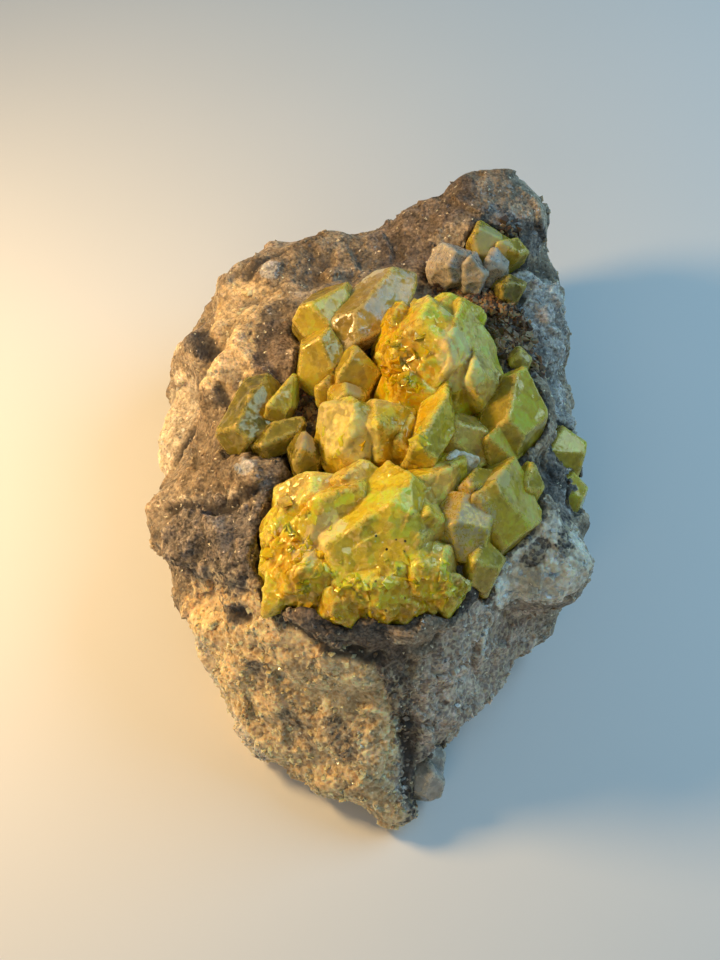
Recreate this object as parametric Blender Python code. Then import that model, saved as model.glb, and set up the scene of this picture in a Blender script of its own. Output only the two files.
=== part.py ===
"""Sulfur specimen: a hand-sized block of limestone and calcite with grown-together sulfur crystals on top.

The block lies on its flat underside at z = 0. +Y is its long direction, from the thin front tip to the
knob at the back, and +Z is up. Sizes below are in millimetres and become metres when a mesh is made. At
the end everything moves together, so that the origin is under the middle of the whole specimen.
"""

import math
import random

import bmesh
import bpy
import numpy as np
from mathutils import Euler, Matrix, Vector, noise

MM = 0.001
GAP = 0.3  # clearance between a crystal and whatever it sits in or against

# The block
BLOCK_CENTRE = Vector((1.0, 3.0, 17.0))  # every point of its surface is seen from here
BLOCK_REACH = Vector((33.0, 50.0, 20.0))  # rough half sizes, which spread the surface points evenly
BLOCK_DIVISIONS = 6
FARTHEST = 90.0  # no part of the block is farther than this from its centre
DEEP_INSIDE = -100.0  # the field before the first fracture face is met
HALVINGS = 14  # how often the last millimetre is halved to find the surface
BLOCK_TRIANGLES = 5200
EDGE_ROUND = 2.6  # how softly two fracture faces meet
LUMP_ROUND = 2.4  # how softly a lump grows out of the block
HOLLOW_ROUND = 1.6  # how soft the rim of a hollow is
TOP_HEIGHT = 34.5  # the plateau that carries the crystals
FLOOR = 0.0  # the flat underside

# Fracture faces: azimuth and elevation of the outward normal in degrees, and a point on the face
FRACTURES = {
    "plateau": (0, 90, (0, 0, TOP_HEIGHT)),
    "left slope": (180, 68, (-12, 15, 33.5)),
    "left flank": (180, 32, (-26, 15, 26)),
    "left end": (200, 5, (-28, -18, 12)),
    "front left corner": (215, 25, (-21.8, -25.3, 20)),
    "druse face": (241, 27, (-13.3, -23.9, 33)),
    "front band": (-72, 30, (9, -27.5, 33)),
    "right front face": (-44, 20, (13.6, -24.3, 33)),
    "right wall": (0, 27, (28, 10, 31)),
    "right corner": (-20, 12, (34.5, -13, 17)),
    "back right": (30, 12, (33, 42, 20)),
    "back end": (100, 5, (14, 54, 30)),
    "back left": (107, 6, (-8, 45.5, 24)),
    "back left slope": (105, 65, (-6, 31, 33.5)),
    "left back corner": (155, 14, (-28.4, 34, 18)),
}

# Undercuts below the widest level, down to the underside
UNDERCUTS = {
    "under the druse": (241, -42, (-8, -44, 4.5)),
    "under the right front": (-45, -38, (15, -34, 5.5)),
    "under the right": (0, -32, (36, 8, 14)),
    "under the left": (180, -34, (-33, 8, 13)),
    "under the left end": (200, -34, (-27, -20, 9)),
    "under the back": (100, -24, (10, 54, 16)),
    "under the back left": (140, -28, (-22, 42, 13)),
    "under the back right": (30, -28, (34, 40, 14)),
}

# Lumps added to the block: centre, half sizes, turn about +Z in degrees
LUMPS = {
    "knob": ((21, 44.2, 30.6), (10.3, 9.6, 10.2), 15),
    "knob foot": ((21, 45, 22), (12, 10.5, 14), 10),
    "knob brow": ((15.2, 41.6, 32.2), (5, 4.5, 5), 30),
    "knob shoulder": ((11.5, 44, 28), (8, 6.5, 8), 35),
    "back ridge": ((-4, 40, 27.5), (13, 5, 6), 12),
    "ridge end": ((-17, 37.5, 24.5), (7, 5.5, 6), 30),
    "ridge nub": ((-15.8, 35.5, 30.4), (2.6, 2.4, 2.4), 0),
    "dark lump": ((-22, -11, 23.5), (8.5, 7.5, 7), -38),
    "dark lump edge": ((-17.5, -17, 27.5), (4.5, 4.5, 5), -38),
    "dark lump cap": ((-27, -4, 18.5), (6.5, 8, 7.5), 10),
    "dark lump brow": ((-14.5, -3.5, 31), (4.5, 6, 3.8), 10),
    "left shoulder": ((-20, 21, 27), (6.5, 11, 5.5), -30),
    "left shelf": ((-28, 13, 14), (5.5, 8, 6), 0),
    "left spur": ((-27, 25, 18), (4.5, 4, 8), 10),
    "cream lump": ((28, -13.5, 22), (7, 8, 8.5), 30),
    "right lip": ((27.8, 4, 30), (3, 16, 4), 0),
    "right bulge": ((29.5, 30, 24), (6, 11, 9.5), 0),
    "right foot": ((30, 4, 17), (6.5, 14, 9), 0),
    "front lip": ((3, -26.5, 31.5), (12, 4, 3.4), -6),
    "front tip": ((4.5, -44, 4), (4.5, 5, 5), 0),
}

# Hollows cut into the block
HOLLOWS = {
    "crystal basin": ((7, 0, 38), (17, 25, 7.5), -8),
    "left pocket": ((-15, 6.5, 35.5), (6.5, 8.5, 6), -25),
    "knob hollow": ((20.5, 34.5, 38), (8, 5.5, 6), 10),
    "knob cleft": ((31, 36, 34), (5, 3, 7), -20),
    "left ledge cut": ((-32, 15, 24), (6, 6.5, 7), 20),
    "left crevice": ((-29, 31, 25), (6.5, 3.4, 6), 30),
    "left fold": ((-25.5, 18.5, 30), (2.2, 9, 5), -35),
    "left waist": ((-35, 5.5, 20), (5, 2.4, 9), 0),
    "under the dark lump": ((-30, -14.5, 18), (5.5, 2.4, 3.6), -50),
    "below the lump": ((-23.4, -20, 20), (6, 2.6, 4), -40),
    "below the lump edge": ((-16.5, -24.6, 29), (4.5, 1.8, 3.2), -28),
    "beside the dark lump": ((-13, -13, 33), (2.4, 5, 4), 0),
    "right notch": ((35, -24, 20), (7, 4, 8), 30),
    "right dip": ((31, -3, 31), (4, 4, 5), 0),
    "druse dip": ((-3, -41, 22), (6, 5, 7), 20),
    "knob top break": ((24, 42, 73.6), (34, 34, 34), 0),
    "knob right break": ((61.4, 57.4, 40), (32, 32, 32), 0),
    "knob left break": ((-8, 74, 44), (30, 30, 30), 0),
}

ROUGHNESS = ((14.0, 1.6), (6.0, 1.0), (2.8, 0.5))  # wavelength and height of each scale of bumps
ROUGHNESS_SHIFT = Vector((7.3, 1.9, 4.1))  # sets the scales of bumps apart from each other
CHIP_SIZE = 8.0  # spacing of the chipped facets
CHIP_HEIGHT = 1.5
CHIP_MEAN = 0.4

# The crystals
FACET_NUDGE = 0.22  # how far facet directions stray from an even spread
FACET_REACH = (0.86, 1.0)  # facet distances, as shares of the crystal's half size
BLANK = 3.2  # edge of the cube a crystal is cut from, as a share of its largest half size
SHARPNESS = 1e-5  # corners closer than this to a cut count as lying on it


def direction(azimuth, elevation):
    """Unit vector from two angles in degrees."""
    a = math.radians(azimuth)
    e = math.radians(elevation)
    return np.array((math.cos(a) * math.cos(e), math.sin(a) * math.cos(e), math.sin(e)))


def soft_max(a, b, width):
    """The larger of two fields, rounded over where they are within width of each other."""
    blend = np.clip(0.5 + 0.5 * (a - b) / width, 0.0, 1.0)
    return b + (a - b) * blend + width * blend * (1.0 - blend)


def ellipsoid(points, centre, half, turn):
    """Signed distance, near enough, to an ellipsoid turned about +Z."""
    a = math.radians(turn)
    offset = points - np.array(centre)
    across = offset[:, 0] * math.cos(a) + offset[:, 1] * math.sin(a)
    along = offset[:, 1] * math.cos(a) - offset[:, 0] * math.sin(a)
    local = np.column_stack((across, along, offset[:, 2]))
    size = np.array(half)
    near = np.linalg.norm(local / size, axis=1)
    slope = np.linalg.norm(local / size**2, axis=1)
    return near * (near - 1.0) / np.maximum(slope, 1e-6)


def block_field(points):
    """Negative inside the block and positive outside it."""
    field = np.full(len(points), DEEP_INSIDE)
    for azimuth, elevation, through in list(FRACTURES.values()) + list(UNDERCUTS.values()):
        side = (points - np.array(through)) @ direction(azimuth, elevation)
        field = soft_max(field, side, EDGE_ROUND)
    for centre, half, turn in LUMPS.values():
        field = -soft_max(-field, -ellipsoid(points, centre, half, turn), LUMP_ROUND)
    for centre, half, turn in HOLLOWS.values():
        field = soft_max(field, -ellipsoid(points, centre, half, turn), HOLLOW_ROUND)
    return field


def block_surface(rays, centre):
    """Distance along each ray at which it last leaves the block."""
    far = np.full(len(rays), FARTHEST)
    near = far.copy()
    searching = np.ones(len(rays), bool)
    for _ in range(int(FARTHEST) - 2):
        near[searching] -= 1.0
        outside = block_field(centre + rays * near[:, None]) > 0.0
        searching &= outside
        far[searching] = near[searching]
    for _ in range(HALVINGS):
        middle = 0.5 * (near + far)
        outside = block_field(centre + rays * middle[:, None]) > 0.0
        far = np.where(outside, middle, far)
        near = np.where(outside, near, middle)
    return 0.5 * (near + far)


def bumps(point):
    """Natural unevenness of the rock at one point, in millimetres."""
    total = 0.0
    for number, (wavelength, height) in enumerate(ROUGHNESS):
        total += height * noise.noise(point / wavelength + ROUGHNESS_SHIFT * (number + 1))
    nearest = noise.voronoi(point / CHIP_SIZE)[0]
    return total + CHIP_HEIGHT * (nearest[1] - nearest[0] - CHIP_MEAN)


def material(name, colour, roughness):
    surface = bpy.data.materials.new(name)
    surface.use_nodes = True
    shader = surface.node_tree.nodes["Principled BSDF"]
    shader.inputs["Base Color"].default_value = (*colour, 1.0)
    shader.inputs["Roughness"].default_value = roughness
    shader.inputs["Metallic"].default_value = 0.0
    surface.diffuse_color = (*colour, 1.0)
    return surface


def new_object(name, bm):
    """Put a finished bmesh, drawn in millimetres, into the scene in metres."""
    bmesh.ops.recalc_face_normals(bm, faces=bm.faces)
    bmesh.ops.scale(bm, vec=(MM, MM, MM), verts=bm.verts)
    mesh = bpy.data.meshes.new(name)
    bm.to_mesh(mesh)
    bm.free()
    made = bpy.data.objects.new(name, mesh)
    bpy.context.scene.collection.objects.link(made)
    return made


def settle(target):
    """Replace an object's mesh by what its modifiers make of it."""
    bpy.context.view_layer.update()
    graph = bpy.context.evaluated_depsgraph_get()
    settled = bpy.data.meshes.new_from_object(target.evaluated_get(graph))
    target.modifiers.clear()
    old = target.data
    target.data = settled
    bpy.data.meshes.remove(old)


def combine(target, tool, operation):
    """Boolean of two closed objects; the tool stays as it was."""
    step = target.modifiers.new("cut or join", "BOOLEAN")
    step.solver = "EXACT"
    step.operation = operation
    step.object = tool
    settle(target)


def discard(spent):
    mesh = spent.data
    bpy.data.objects.remove(spent)
    bpy.data.meshes.remove(mesh)


def clip_below(bm, height):
    """Saw the block flat at one height and close the cut with a single face."""
    cut = bmesh.ops.bisect_plane(
        bm,
        geom=bm.verts[:] + bm.edges[:] + bm.faces[:],
        plane_co=(0, 0, height),
        plane_no=(0, 0, -1),
        clear_outer=True,
    )
    rim = [piece for piece in cut["geom_cut"] if isinstance(piece, bmesh.types.BMEdge)]
    bmesh.ops.contextual_create(bm, geom=rim)


def make_block():
    """The limestone block: a sphere pulled out to its fracture faces, then sawn flat underneath."""
    bm = bmesh.new()
    bmesh.ops.create_icosphere(bm, subdivisions=BLOCK_DIVISIONS, radius=1.0)
    spread = np.array([vert.co[:] for vert in bm.verts]) * np.array(BLOCK_REACH)
    rays = spread / np.linalg.norm(spread, axis=1)[:, None]
    centre = np.array(BLOCK_CENTRE)
    lengths = block_surface(rays, centre)
    for vert, ray, length in zip(bm.verts, rays, lengths):
        outward = Vector(ray)
        point = BLOCK_CENTRE + outward * length
        vert.co = point + outward * bumps(point)
    block = new_object("matrix_block", bm)
    thin = block.modifiers.new("fewer faces", "DECIMATE")
    thin.ratio = BLOCK_TRIANGLES / len(block.data.polygons)
    settle(block)
    bm = bmesh.new()
    bm.from_mesh(block.data)
    clip_below(bm, FLOOR)
    bmesh.ops.triangulate(bm, faces=[face for face in bm.faces if len(face.verts) == 4])
    bm.to_mesh(block.data)
    bm.free()
    return block


def spread_normals(count, seed):
    """Facet directions spread over a sphere, each nudged a little so that no two crystals match."""
    chance = random.Random(seed)
    turn = math.pi * (3.0 - math.sqrt(5.0))
    normals = []
    for index in range(count):
        height = 1.0 - 2.0 * (index + 0.5) / count
        ring = math.sqrt(1.0 - height * height)
        flat = Vector((ring * math.cos(turn * index), ring * math.sin(turn * index), height))
        nudge = Vector([chance.uniform(-FACET_NUDGE, FACET_NUDGE) for _ in range(3)])
        normals.append((flat + nudge).normalized())
    return normals, chance


def facets_of(shape):
    """The facet planes of one crystal, as a point on each and its outward normal, in millimetres."""
    centre, half, turn, count, seed = shape[:5]
    cuts = shape[5] if len(shape) > 5 else ()
    turned = Euler([math.radians(angle) for angle in turn]).to_matrix()
    normals, chance = spread_normals(count, seed)
    planes = []
    for normal in normals:
        stretched = Vector([normal[axis] / half[axis] for axis in range(3)])
        reach = chance.uniform(*FACET_REACH) / stretched.length
        outward = stretched.normalized()
        planes.append((Vector(centre) + turned @ (outward * reach), turned @ outward))
    for azimuth, elevation, reach in cuts:
        outward = Vector(direction(azimuth, elevation))
        planes.append((Vector(centre) + outward * reach, outward))
    return planes


def cut_crystal(name, shape, swell=0.0):
    """Cut a cube down to one crystal, facet by facet, as a lapidary would."""
    centre, half = shape[:2]
    bm = bmesh.new()
    bmesh.ops.create_cube(bm, size=BLANK * max(half), matrix=Matrix.Translation(centre))
    for point, outward in facets_of(shape):
        cut = bmesh.ops.bisect_plane(
            bm,
            geom=bm.verts[:] + bm.edges[:] + bm.faces[:],
            dist=SHARPNESS,
            plane_co=point + outward * swell,
            plane_no=outward,
            clear_outer=True,
        )
        rim = [piece for piece in cut["geom_cut"] if isinstance(piece, bmesh.types.BMEdge)]
        if rim:
            bmesh.ops.contextual_create(bm, geom=rim)
    return new_object(name, bm)


def grow(name, shapes, swell=0.0):
    """One solid of crystals that grew together."""
    whole = cut_crystal(name, shapes[0], swell)
    for number, shape in enumerate(shapes[1:]):
        other = cut_crystal(f"{name}_{number}", shape, swell)
        combine(whole, other, "UNION")
        discard(other)
    return whole


# Crystals: centre, half sizes, turn about x, y and z in degrees, facet count, seed, and large facets cut
# across them by azimuth, elevation and distance from the centre
CALCITE_BLADE = [
    ((1.6, 22.5, 37.0), (3.9, 8.8, 4.4), (14, 6, -38), 12, 5, ((140, 55, 3.0), (-20, 60, 3.1), (-60, 20, 6.6))),
]
UPPER_MASS = [
    ((10.0, 14.5, 35.5), (7.6, 8.4, 10.5), (0, 0, 10), 22, 11, ((-110, 52, 8.2), (150, 40, 7.0))),
    ((15.6, 14.0, 34.5), (5.4, 7.6, 10.0), (0, 0, -8), 14, 12, ((-5, 38, 4.6), (-40, 30, 5.2))),
    ((8.2, 8.8, 33.5), (5.6, 4.6, 8.0), (8, 0, 0), 16, 13),
    ((13.0, 19.6, 34.0), (5.6, 4.6, 8.2), (0, 8, 15), 14, 14),
    ((18.0, 9.5, 33.0), (3.4, 3.6, 6.8), (0, 0, 30), 10, 15),
    ((6.4, 18.5, 34.0), (3.8, 4.6, 7.5), (0, 0, 0), 14, 16),
]
FRONT_MASS = [
    ((3.0, -15.6, 34.0), (7.6, 10.4, 9.2), (0, 0, -42), 16, 21, ((-85, 64, 6.8), (140, 58, 6.6))),
    ((-4.8, -15.6, 33.2), (4.8, 9.6, 9.0), (0, 0, -45), 12, 22, ((-60, 48, 4.6), (-135, 58, 6.2))),
    ((-6.3, -20.9, 32.0), (6.4, 4.9, 6.2), (0, 0, 10), 18, 23),
    ((1.6, -23.2, 32.2), (7.2, 4.9, 6.4), (0, 0, -5), 20, 24),
    ((9.0, -21.2, 32.4), (5.2, 5.6, 6.6), (0, 0, 20), 18, 25),
    ((8.2, -9.4, 34.2), (3.7, 7.4, 8.2), (0, 0, -62), 12, 26, ((-65, 50, 4.2), (110, 50, 4.2))),
    ((-7.0, -9.2, 31.5), (5.6, 4.4, 6.0), (0, 0, 12), 14, 27),
    ((-11.0, -14.8, 30.5), (3.2, 5.2, 5.6), (0, 0, 0), 12, 28),
    ((0.0, -8.2, 32.5), (5.5, 3.4, 6.2), (0, 0, 0), 12, 29),
    ((-10.6, -19.6, 30.5), (3.4, 4.0, 5.4), (0, 0, 20), 14, 30),
    ((-2.2, -24.9, 32.2), (4.0, 3.2, 4.2), (0, 0, 10), 14, 121),
    ((5.6, -25.4, 32.0), (4.0, 2.8, 4.4), (0, 0, -10), 14, 122),
    ((11.6, -23.6, 32.0), (2.8, 3.0, 4.2), (0, 0, 0), 13, 123),
    ((8.8, -14.8, 33.4), (3.8, 3.4, 6.4), (0, 0, 30), 12, 124),
]
FRONT_RIGHT_CRYSTALS = [
    ((20.4, -10.4, 33.0), (4.9, 5.6, 6.8), (0, 0, -20), 10, 31, ((0, 42, 3.8), (-60, 40, 4.6))),
    ((14.6, -14.2, 32.8), (4.4, 5.4, 6.4), (0, 0, 25), 12, 32),
    ((17.2, -19.0, 31.2), (2.7, 3.4, 4.8), (0, 0, 0), 10, 33),
    ((16.8, -8.4, 33.0), (3.2, 2.4, 5.6), (0, 0, 30), 10, 34),
]
MIDDLE_MASS = [
    ((-1.0, 0.2, 34.0), (5.6, 5.4, 8.4), (0, 0, 0), 18, 41, ((-160, 45, 5.6),)),
    ((3.6, 0.4, 34.5), (4.6, 5.2, 8.0), (0, 0, 20), 14, 42, ((60, 60, 6.4),)),
    ((10.2, 1.0, 35.0), (2.7, 7.4, 7.4), (14, 10, -17), 10, 43),
    ((7.2, -1.6, 33.5), (2.6, 4.2, 6.4), (0, 0, -10), 10, 44),
]
BROWN_CRYSTAL = [
    ((15.8, 0.2, 33.4), (4.8, 3.8, 6.0), (0, 0, -25), 9, 45, ((-60, 50, 4.0), (60, 45, 3.8))),
]
RIGHT_CRYSTALS = [
    ((22.8, 5.0, 33.0), (4.5, 6.0, 7.4), (0, 0, -20), 11, 51, ((-15, 50, 4.4), (170, 50, 4.8))),
    ((20.4, -0.6, 31.8), (2.8, 3.2, 5.2), (0, 0, 0), 10, 52),
]
UPPER_LEFT_CRYSTALS = [
    ((-5.0, 22.6, 34.6), (4.0, 5.4, 5.2), (0, 0, -34), 11, 61),
    ((-6.0, 14.6, 33.6), (3.7, 4.3, 5.6), (0, 0, -10), 12, 62, ((-120, 45, 3.9),)),
    ((-1.0, 11.6, 33.6), (3.0, 4.0, 5.6), (0, 0, 0), 10, 63, ((-60, 40, 3.4),)),
    ((-1.9, 6.9, 33.6), (2.7, 2.4, 5.0), (0, 0, 20), 12, 64),
    ((-4.6, 9.6, 32.6), (2.0, 2.2, 3.6), (0, 0, 0), 10, 65),
]
POCKET_CRYSTAL = [
    ((-16.6, 6.4, 31.6), (3.6, 6.2, 4.6), (10, 0, -27), 10, 71, ((165, 50, 3.4), (-30, 60, 3.6))),
]
POCKET_BLADE = [
    ((-11.7, 7.6, 33.0), (1.2, 4.0, 3.6), (12, 0, -24), 9, 72),
]
POCKET_PLATE = [
    ((-12.2, 1.6, 32.6), (3.9, 1.9, 2.6), (0, -10, 28), 9, 73),
]
GAP_CRYSTAL = [
    ((-8.0, -2.4, 32.6), (2.2, 3.2, 4.6), (0, 0, 8), 11, 74),
]
KNOB_CRYSTALS = [
    ((20.2, 36.6, 34.6), (2.5, 2.8, 4.2), (-10, 0, 25), 10, 81),
    ((24.2, 35.8, 34.0), (1.9, 1.9, 3.5), (0, 0, -10), 9, 82),
    ((22.4, 37.6, 33.4), (1.8, 1.8, 3.4), (0, 0, 15), 9, 80),
]
KNOB_CALCITE = [
    ((14.6, 32.0, 35.4), (3.0, 3.0, 4.6), (0, 0, 35), 10, 83),
    ((18.0, 30.6, 35.0), (2.2, 2.4, 4.2), (0, 0, 0), 10, 84),
    ((21.4, 32.0, 34.8), (2.0, 1.8, 3.6), (0, 0, 15), 9, 79),
]
SMALL_OLIVE_CRYSTAL = [((23.6, 28.6, 34.2), (2.1, 1.7, 2.8), (0, 0, 15), 10, 85)]
BROWN_BEAD = [((24.8, 16.0, 32.4), (1.6, 1.6, 2.2), (0, 0, 0), 12, 86)]
PALE_CALCITE = [((13.6, -4.6, 34.4), (3.0, 1.9, 3.6), (0, 0, 5), 10, 87)]
SMALL_GREEN_CRYSTAL = [((25.0, -6.2, 31.8), (1.5, 2.6, 3.2), (0, 0, 5), 9, 88)]
SIDE_CRYSTALS = [
    ((32.0, 6.2, 20.0), (3.0, 4.4, 4.4), (0, 0, 5), 11, 91),
    ((32.8, 0.2, 18.0), (2.8, 4.2, 4.0), (0, 0, -10), 11, 92),
]
FOOT_CALCITE = [
    ((9.6, -41.6, 5.4), (2.2, 3.4, 3.4), (0, 20, 25), 12, 93),
    ((10.8, -38.6, 5.6), (1.8, 2.6, 3.0), (0, 0, 10), 11, 94),
]

# Name, crystals, colour and roughness; a later solid gives way to the earlier ones it meets
CRYSTALS = (
    ("calcite_blade", CALCITE_BLADE, (0.62, 0.58, 0.34), 0.16),
    ("sulfur_upper_mass", UPPER_MASS, (0.72, 0.50, 0.08), 0.30),
    ("sulfur_front_mass", FRONT_MASS, (0.74, 0.60, 0.10), 0.30),
    ("sulfur_middle_mass", MIDDLE_MASS, (0.70, 0.56, 0.14), 0.30),
    ("sulfur_right_crystals", RIGHT_CRYSTALS, (0.52, 0.54, 0.14), 0.22),
    ("sulfur_front_right_crystals", FRONT_RIGHT_CRYSTALS, (0.50, 0.52, 0.16), 0.22),
    ("sulfur_brown_crystal", BROWN_CRYSTAL, (0.46, 0.38, 0.14), 0.24),
    ("sulfur_upper_left_crystals", UPPER_LEFT_CRYSTALS, (0.50, 0.46, 0.12), 0.22),
    ("sulfur_pocket_crystal", POCKET_CRYSTAL, (0.34, 0.31, 0.07), 0.16),
    ("sulfur_pocket_blade", POCKET_BLADE, (0.55, 0.50, 0.16), 0.20),
    ("sulfur_pocket_plate", POCKET_PLATE, (0.58, 0.50, 0.14), 0.22),
    ("sulfur_gap_crystal", GAP_CRYSTAL, (0.48, 0.43, 0.16), 0.24),
    ("sulfur_knob_crystals", KNOB_CRYSTALS, (0.50, 0.50, 0.14), 0.24),
    ("calcite_knob_crystals", KNOB_CALCITE, (0.48, 0.43, 0.37), 0.26),
    ("sulfur_olive_crystal", SMALL_OLIVE_CRYSTAL, (0.40, 0.38, 0.14), 0.26),
    ("brown_bead_crystal", BROWN_BEAD, (0.36, 0.28, 0.14), 0.30),
    ("pale_calcite_crystal", PALE_CALCITE, (0.58, 0.48, 0.34), 0.30),
    ("sulfur_green_crystal", SMALL_GREEN_CRYSTAL, (0.46, 0.50, 0.20), 0.24),
    ("sulfur_side_crystals", SIDE_CRYSTALS, (0.42, 0.46, 0.14), 0.26),
    ("calcite_foot_crystal", FOOT_CALCITE, (0.56, 0.56, 0.54), 0.22),
)
BLOCK_COLOUR = (0.34, 0.25, 0.17)
BLOCK_ROUGHNESS = 0.85


def reach(made):
    """Corners of an object's bounding box, low and high, in metres."""
    points = np.array([vert.co[:] for vert in made.data.vertices])
    return points.min(axis=0), points.max(axis=0)


def apart(first, second):
    """Whether two bounding boxes are clear of each other."""
    low_a, high_a = first
    low_b, high_b = second
    return bool((high_a < low_b).any() or (high_b < low_a).any())


def centre_on_underside(pieces):
    """Bring the middle of the specimen's underside to the origin."""
    corners = np.array([reach(piece) for piece in pieces])
    low = corners[:, 0].min(axis=0)
    high = corners[:, 1].max(axis=0)
    shift = Vector((-(low[0] + high[0]) / 2, -(low[1] + high[1]) / 2, -low[2]))
    for piece in pieces:
        piece.data.transform(Matrix.Translation(shift))


def build():
    for old in list(bpy.data.objects):
        bpy.data.objects.remove(old)
    block = make_block()
    pieces = [block]
    sockets = []
    for name, shapes, colour, roughness in CRYSTALS:
        crystal = grow(name, shapes)
        for socket in sockets:
            if not apart(reach(crystal), reach(socket)):
                combine(crystal, socket, "DIFFERENCE")
        sockets.append(grow(f"socket_{name}", shapes, GAP))
        crystal.data.materials.append(material(name, colour, roughness))
        pieces.append(crystal)
    for socket in sockets:
        combine(block, socket, "DIFFERENCE")
    for socket in sockets:
        discard(socket)
    block.data.materials.clear()
    block.data.materials.append(material("matrix_block", BLOCK_COLOUR, BLOCK_ROUGHNESS))
    centre_on_underside(pieces)


build()
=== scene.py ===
import bmesh
import bpy
import numpy as np
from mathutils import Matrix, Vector, noise
from mathutils.bvhtree import BVHTree


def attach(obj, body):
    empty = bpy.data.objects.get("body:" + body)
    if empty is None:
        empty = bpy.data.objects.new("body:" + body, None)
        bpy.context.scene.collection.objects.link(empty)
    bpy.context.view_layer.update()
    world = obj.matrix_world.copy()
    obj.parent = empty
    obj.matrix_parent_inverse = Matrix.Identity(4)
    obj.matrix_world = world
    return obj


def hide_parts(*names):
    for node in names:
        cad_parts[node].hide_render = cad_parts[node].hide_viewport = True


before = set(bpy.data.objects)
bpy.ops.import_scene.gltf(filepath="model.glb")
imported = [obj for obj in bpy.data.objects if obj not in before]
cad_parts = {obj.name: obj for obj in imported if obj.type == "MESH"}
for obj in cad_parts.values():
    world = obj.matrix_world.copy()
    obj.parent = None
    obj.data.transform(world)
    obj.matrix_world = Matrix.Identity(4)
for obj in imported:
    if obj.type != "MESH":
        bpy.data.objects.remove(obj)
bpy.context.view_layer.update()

# The host rock, a hand-sized block broken from a bed of bituminous limestone.
# Its skin is rebuilt as small even cells, halved where it can be seen and again where it is sugary, so that
# facets, pits and grain are real relief. Lengths here are millimetres, and MM turns them into metres.
MM = 0.001
ROCK_CELL = 1.0
ROCK_EASE = 2
LUMPS = 0.6
LUMPS_APART = 7
CRUMBLE_APART = 2.6
CREVICE_DEPTH = 1.3
PIT_DEPTH = 0.12
FOLD_DEPTH = 0.7
RIM_REACH = 1.5
# The relief fades out towards the table, and the skin stays coarse there and under the crystals
FLAT_BELOW = 1.5
COARSE_UNDER = 0.75
# Three numbers that have nothing to do with one another, to draw random ones from a place or a direction
SCATTER = (12.9898, 78.233, 37.719)


def even_skin(node, name, cell):
    """A new object with the CAD node's shape, its surface rebuilt from even cells of that size."""
    piece = bpy.data.objects.new(name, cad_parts[node].data.copy())
    bpy.context.scene.collection.objects.link(piece)
    skin = piece.modifiers.new("even cells", "REMESH")
    skin.mode = "VOXEL"
    skin.voxel_size = cell * MM
    graph = bpy.context.evaluated_depsgraph_get()
    rebuilt = bpy.data.meshes.new_from_object(piece.evaluated_get(graph))
    piece.modifiers.clear()
    piece.data = rebuilt
    rebuilt.name = name
    rebuilt.materials.clear()
    rebuilt.shade_smooth()
    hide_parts(node)
    return piece


def skin_of(piece):
    """Its points in millimetres, and their outward directions."""
    count = len(piece.data.vertices)
    points = np.empty(count * 3, np.float32)
    outward = np.empty(count * 3, np.float32)
    piece.data.vertices.foreach_get("co", points)
    piece.data.vertex_normals.foreach_get("vector", outward)
    return points.reshape(-1, 3).astype(float) / MM, outward.reshape(-1, 3).astype(float)


def put_skin(piece, points):
    """Moves the piece's points to these places, in millimetres."""
    piece.data.vertices.foreach_set("co", (points * MM).astype(np.float32).ravel())
    piece.data.update()


def eased(piece, values, times):
    """Values at the points, each moved half-way to the mean of its neighbours, that many times."""
    ends = np.empty(len(piece.data.edges) * 2, np.int32)
    piece.data.edges.foreach_get("vertices", ends)
    ends = ends.reshape(-1, 2)
    neighbours = np.maximum(np.bincount(ends.ravel(), minlength=len(values)), 1)[:, None]
    for _ in range(times):
        total = np.empty_like(values)
        for axis in range(values.shape[1]):
            there = np.bincount(ends[:, 0], values[ends[:, 1], axis], len(values))
            back = np.bincount(ends[:, 1], values[ends[:, 0], axis], len(values))
            total[:, axis] = there + back
        values = (values + total / neighbours) / 2
    return values


def finer(piece, chosen):
    """Halves the cells of the chosen faces, so that they can hold finer relief."""
    bm = bmesh.new()
    bm.from_mesh(piece.data)
    edges = {edge for face, wanted in zip(bm.faces, chosen) if wanted for edge in face.edges}
    bmesh.ops.subdivide_edges(bm, edges=list(edges), cuts=1, use_grid_fill=True)
    bm.to_mesh(piece.data)
    bm.free()


def keep(piece, name, values):
    """Stores one number for each point, which the finish reads by this name."""
    stored = piece.data.attributes.new(name, "FLOAT", "POINT")
    stored.data.foreach_set("value", np.asarray(values, np.float32))


def sampled(function, points):
    """The function's value at each point."""
    return np.array([function(Vector(point)) for point in points])


def near(points, routes):
    """1 on any of the routes and 0 well beyond them. A route is a row of points and how far it reaches."""
    mask = np.zeros(len(points))
    for reach, *route in routes:
        for start, end in zip(route, route[1:] or route):
            start, run = np.array(start, float), np.array(end, float) - np.array(start, float)
            share = np.clip((points - start) @ run / max(run @ run, 1e-9), 0, 1)
            gap = np.linalg.norm(points - start - share[:, None] * run, axis=1)
            mask = np.maximum(mask, np.clip(1.5 - gap / reach, 0, 1))
    return mask


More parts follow.
